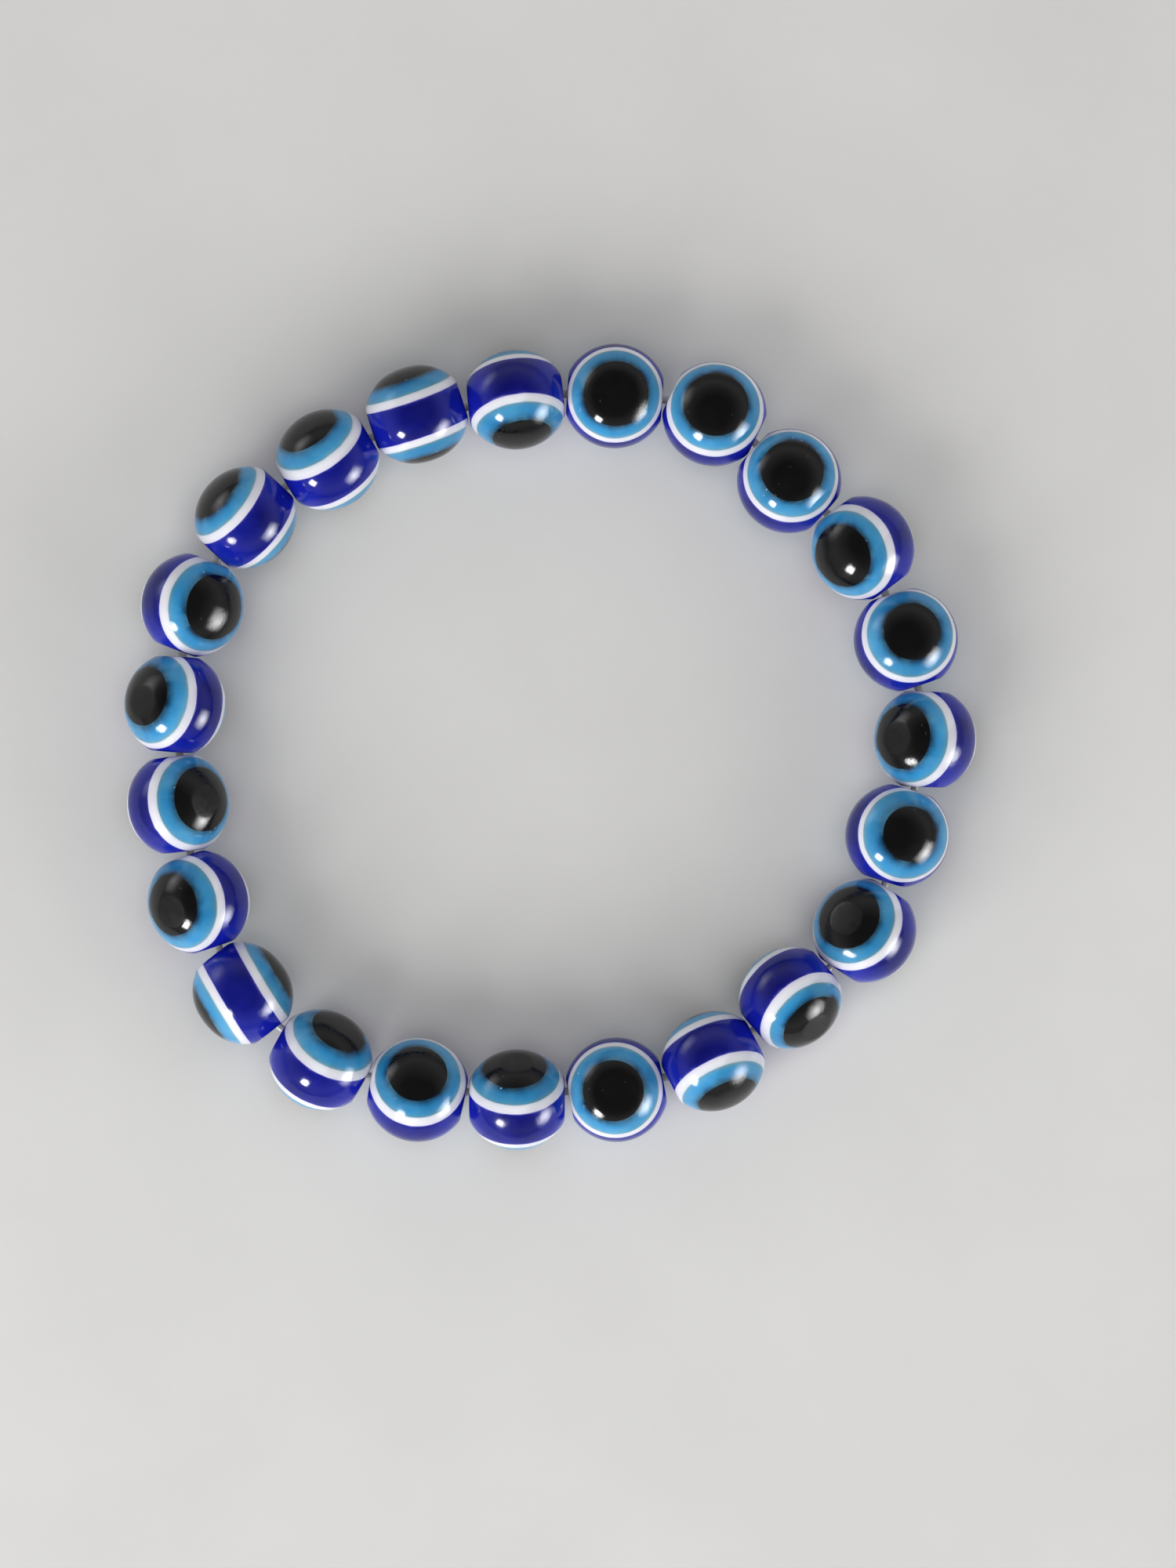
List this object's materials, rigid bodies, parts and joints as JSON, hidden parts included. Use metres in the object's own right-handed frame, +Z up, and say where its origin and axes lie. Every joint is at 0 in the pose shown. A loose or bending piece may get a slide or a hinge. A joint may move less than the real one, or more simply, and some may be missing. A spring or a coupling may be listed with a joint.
{
  "type": "bead bracelet",
  "caption": "Stretch bracelet of glossy layered-resin evil-eye beads on a knotted elastic cord, laid flat in a loose loop.",
  "frame": {"origin": "on the surface that the bracelet lies on, under the middle of its loop's box", "axes": "+Z up through the loop, along the line that a wrist goes through; +X along the loop's longer way across; +Y along its shorter way, towards the first bead"},
  "size_m": [0.0651, 0.0616, 0.008],
  "materials": {
    "blue_resin": "polished cast resin; in the real bead black, light blue, white and royal blue layers, glossy, very slightly translucent",
    "clear_elastic": "clear stretch cord, satin",
    "glued_elastic": "knotted clear stretch cord set with a drop of glue"
  },
  "bodies": {
    "cord": {"elastic_cord": "clear_elastic", "cord_knot": "glued_elastic"},
    "bead_01": {"bead_01": "blue_resin"},
    "bead_02": {"bead_02": "blue_resin"},
    "bead_03": {"bead_03": "blue_resin"},
    "bead_04": {"bead_04": "blue_resin"},
    "bead_05": {"bead_05": "blue_resin"},
    "bead_06": {"bead_06": "blue_resin"},
    "bead_07": {"bead_07": "blue_resin"},
    "bead_08": {"bead_08": "blue_resin"},
    "bead_09": {"bead_09": "blue_resin"},
    "bead_10": {"bead_10": "blue_resin"},
    "bead_11": {"bead_11": "blue_resin"},
    "bead_12": {"bead_12": "blue_resin"},
    "bead_13": {"bead_13": "blue_resin"},
    "bead_14": {"bead_14": "blue_resin"},
    "bead_15": {"bead_15": "blue_resin"},
    "bead_16": {"bead_16": "blue_resin"},
    "bead_17": {"bead_17": "blue_resin"},
    "bead_18": {"bead_18": "blue_resin"},
    "bead_19": {"bead_19": "blue_resin"},
    "bead_20": {"bead_20": "blue_resin"},
    "bead_21": {"bead_21": "blue_resin"},
    "bead_22": {"bead_22": "blue_resin"},
    "bead_23": {"bead_23": "blue_resin"}
  },
  "joints": [
    {"name": "bead_01_spin", "type": "hinge", "parent": "cord", "child": "bead_01", "pos_m": [0.00495, 0.02689, 0.0036], "axis": [0.9975, -0.071, 0], "continuous": true},
    {"name": "bead_02_spin", "type": "hinge", "parent": "cord", "child": "bead_02", "pos_m": [0.01257, 0.02551, 0.00374], "axis": [0.8986, -0.4388, 0], "continuous": true},
    {"name": "bead_03_spin", "type": "hinge", "parent": "cord", "child": "bead_03", "pos_m": [0.01827, 0.02039, 0.00374], "axis": [0.7409, -0.6716, 0], "continuous": true},
    {"name": "bead_04_spin", "type": "hinge", "parent": "cord", "child": "bead_04", "pos_m": [0.02389, 0.01525, 0.00383], "axis": [0.5925, -0.8056, 0], "continuous": true},
    {"name": "bead_05_spin", "type": "hinge", "parent": "cord", "child": "bead_05", "pos_m": [0.0272, 0.00826, 0.00374], "axis": [0.3104, -0.9506, 0], "continuous": true},
    {"name": "bead_06_spin", "type": "hinge", "parent": "cord", "child": "bead_06", "pos_m": [0.02866, 0.00064, 0.00385], "axis": [-0.0435, -0.9991, 0], "continuous": true},
    {"name": "bead_07_spin", "type": "hinge", "parent": "cord", "child": "bead_07", "pos_m": [0.02654, -0.00672, 0.00377], "axis": [-0.3016, -0.9534, 0], "continuous": true},
    {"name": "bead_08_spin", "type": "hinge", "parent": "cord", "child": "bead_08", "pos_m": [0.02404, -0.01397, 0.00381], "axis": [-0.5511, -0.8344, 0], "continuous": true},
    {"name": "bead_09_spin", "type": "hinge", "parent": "cord", "child": "bead_09", "pos_m": [0.01836, -0.01912, 0.00392], "axis": [-0.757, -0.6534, 0], "continuous": true},
    {"name": "bead_10_spin", "type": "hinge", "parent": "cord", "child": "bead_10", "pos_m": [0.01246, -0.02396, 0.00396], "axis": [-0.8839, -0.4678, 0], "continuous": true},
    {"name": "bead_11_spin", "type": "hinge", "parent": "cord", "child": "bead_11", "pos_m": [0.00507, -0.02615, 0.0036], "axis": [-0.9814, -0.1921, 0], "continuous": true},
    {"name": "bead_12_spin", "type": "hinge", "parent": "cord", "child": "bead_12", "pos_m": [-0.00252, -0.02689, 0.00392], "axis": [-1, -0.0006, 0], "continuous": true},
    {"name": "bead_13_spin", "type": "hinge", "parent": "cord", "child": "bead_13", "pos_m": [-0.01012, -0.02615, 0.0038], "axis": [-0.9799, 0.1994, 0], "continuous": true},
    {"name": "bead_14_spin", "type": "hinge", "parent": "cord", "child": "bead_14", "pos_m": [-0.01749, -0.02385, 0.00394], "axis": [-0.8745, 0.4851, 0], "continuous": true},
    {"name": "bead_15_spin", "type": "hinge", "parent": "cord", "child": "bead_15", "pos_m": [-0.02347, -0.01875, 0.004], "axis": [-0.6134, 0.7898, 0], "continuous": true},
    {"name": "bead_16_spin", "type": "hinge", "parent": "cord", "child": "bead_16", "pos_m": [-0.02685, -0.01179, 0.00383], "axis": [-0.3249, 0.9457, 0], "continuous": true},
    {"name": "bead_17_spin", "type": "hinge", "parent": "cord", "child": "bead_17", "pos_m": [-0.02843, -0.00431, 0.00385], "axis": [-0.1189, 0.9929, 0], "continuous": true},
    {"name": "bead_18_spin", "type": "hinge", "parent": "cord", "child": "bead_18", "pos_m": [-0.02866, 0.00331, 0.00385], "axis": [0.0712, 0.9975, 0], "continuous": true},
    {"name": "bead_19_spin", "type": "hinge", "parent": "cord", "child": "bead_19", "pos_m": [-0.02734, 0.0109, 0.00383], "axis": [0.353, 0.9356, 0], "continuous": true},
    {"name": "bead_20_spin", "type": "hinge", "parent": "cord", "child": "bead_20", "pos_m": [-0.02327, 0.01759, 0.00396], "axis": [0.6817, 0.7316, 0], "continuous": true},
    {"name": "bead_21_spin", "type": "hinge", "parent": "cord", "child": "bead_21", "pos_m": [-0.01699, 0.02201, 0.00392], "axis": [0.857, 0.5152, 0], "continuous": true},
    {"name": "bead_22_spin", "type": "hinge", "parent": "cord", "child": "bead_22", "pos_m": [-0.01017, 0.02547, 0.00399], "axis": [0.9528, 0.3037, 0], "continuous": true},
    {"name": "bead_23_spin", "type": "hinge", "parent": "cord", "child": "bead_23", "pos_m": [-0.00262, 0.02659, 0.00396], "axis": [0.9956, 0.0935, 0], "continuous": true}
  ]
}
